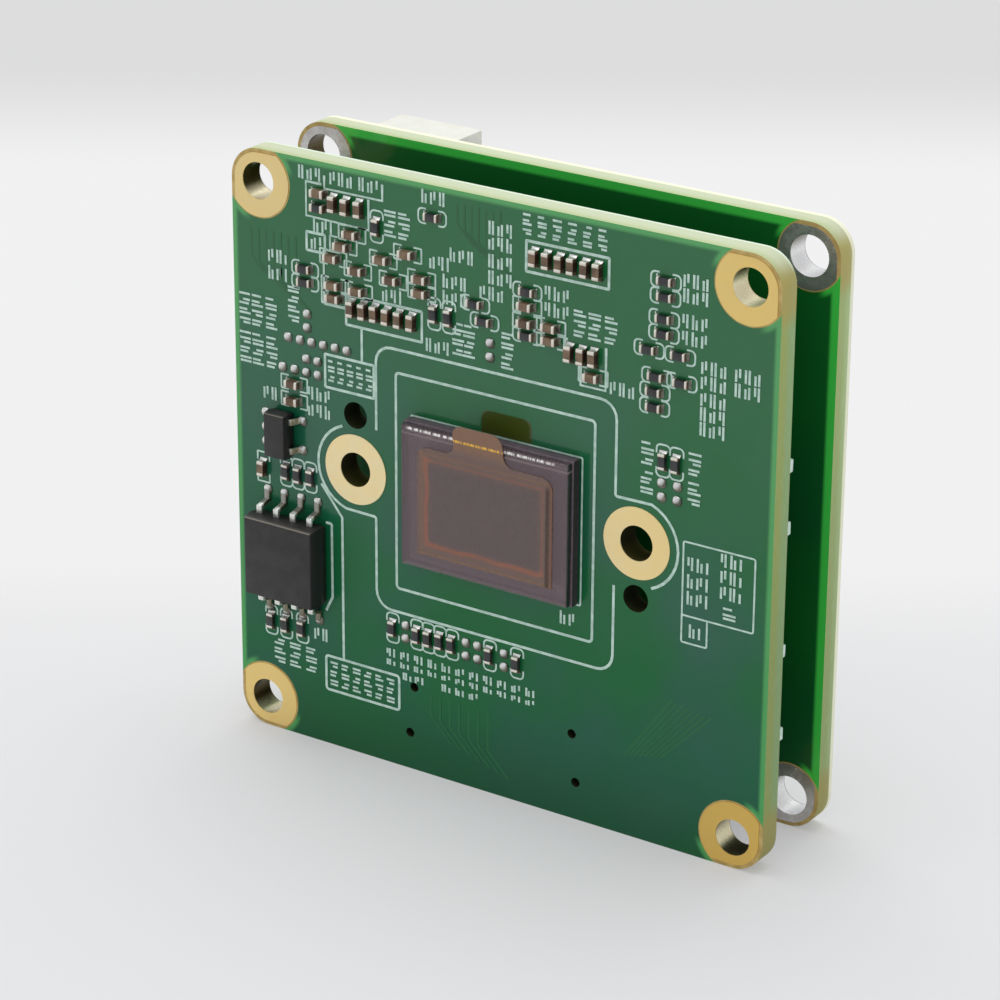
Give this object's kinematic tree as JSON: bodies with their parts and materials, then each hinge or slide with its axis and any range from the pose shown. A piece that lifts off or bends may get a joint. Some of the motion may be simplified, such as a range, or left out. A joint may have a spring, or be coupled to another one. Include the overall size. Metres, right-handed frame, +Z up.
{
  "type": "camera module",
  "caption": "Stacked camera module: a bare image sensor under peel-off film on the front board, a processor board behind it, a stacking connector between them and wafer sockets at the rear.",
  "frame": {"origin": "on the plane of the boards' bottom edges, at the middle of the overall width and depth", "axes": "+X to the right as seen from the sensor side, +Y from the sensor side to the rear, +Z up as the picture stands"},
  "size_m": [0.038, 0.0142, 0.038],
  "materials": {
    "green_board": "satin solder mask over glass laminate",
    "gold_pad": "flat gold plating",
    "tinned_pad": "dull tinned copper",
    "solder": "bright tin",
    "dark_ceramic": "matt dark ceramic",
    "silicon": "polished silicon",
    "gold_wire": "bright drawn wire",
    "cover_glass": "clear coated glass",
    "amber_film": "thin amber film",
    "black_moulding": "matt moulded epoxy",
    "tinned_lead": "satin tin plating",
    "brown_ceramic": "fired ceramic with tinned ends",
    "black_ceramic": "glazed ceramic with tinned ends",
    "black_housing": "moulded housing",
    "gold_contact": "gold-plated contact",
    "cream_nylon": "natural nylon",
    "cream_ceramic": "fired ceramic",
    "steel_lid": "plated lid",
    "grey_ferrite": "pressed ferrite",
    "yellow_moulding": "moulded epoxy"
  },
  "bodies": {
    "root": {"board_plug": "black_housing", "board_receptacle": "black_housing", "bond_wires": "gold_wire", "bulk_capacitor_bodies": "yellow_moulding", "bulk_capacitor_ends": "solder", "capacitors": "brown_ceramic", "control_socket": "cream_nylon", "control_socket_pins": "tinned_lead", "converter_chips": "black_moulding", "converter_lands": "solder", "cover_glass": "cover_glass", "crystal_base": "cream_ceramic", "crystal_lid": "steel_lid", "edge_parts": "brown_ceramic", "ferrite_bead": "black_ceramic", "flash_chip": "black_moulding", "flash_lands": "solder", "inductor_bodies": "grey_ferrite", "inductor_ends": "solder", "memory_body": "black_moulding", "memory_leads": "tinned_lead", "plug_contacts": "gold_contact", "power_socket": "cream_nylon", "power_socket_pins": "tinned_lead", "processor_balls": "solder", "processor_board": "green_board", "processor_chip": "black_moulding", "processor_corner_pads": "tinned_pad", "protective_film": "amber_film", "rear_capacitors": "brown_ceramic", "rear_resistors": "black_ceramic", "receptacle_contacts": "gold_contact", "regulator_body": "black_moulding", "regulator_leads": "tinned_lead", "resistors": "black_ceramic", "sensor_board": "green_board", "sensor_corner_pads": "gold_pad", "sensor_die": "silicon", "sensor_lands": "solder", "sensor_lens_pads": "gold_pad", "sensor_package": "dark_ceramic", "socket_tabs": "solder", "solder_pads": "solder"}
  },
  "joints": []
}
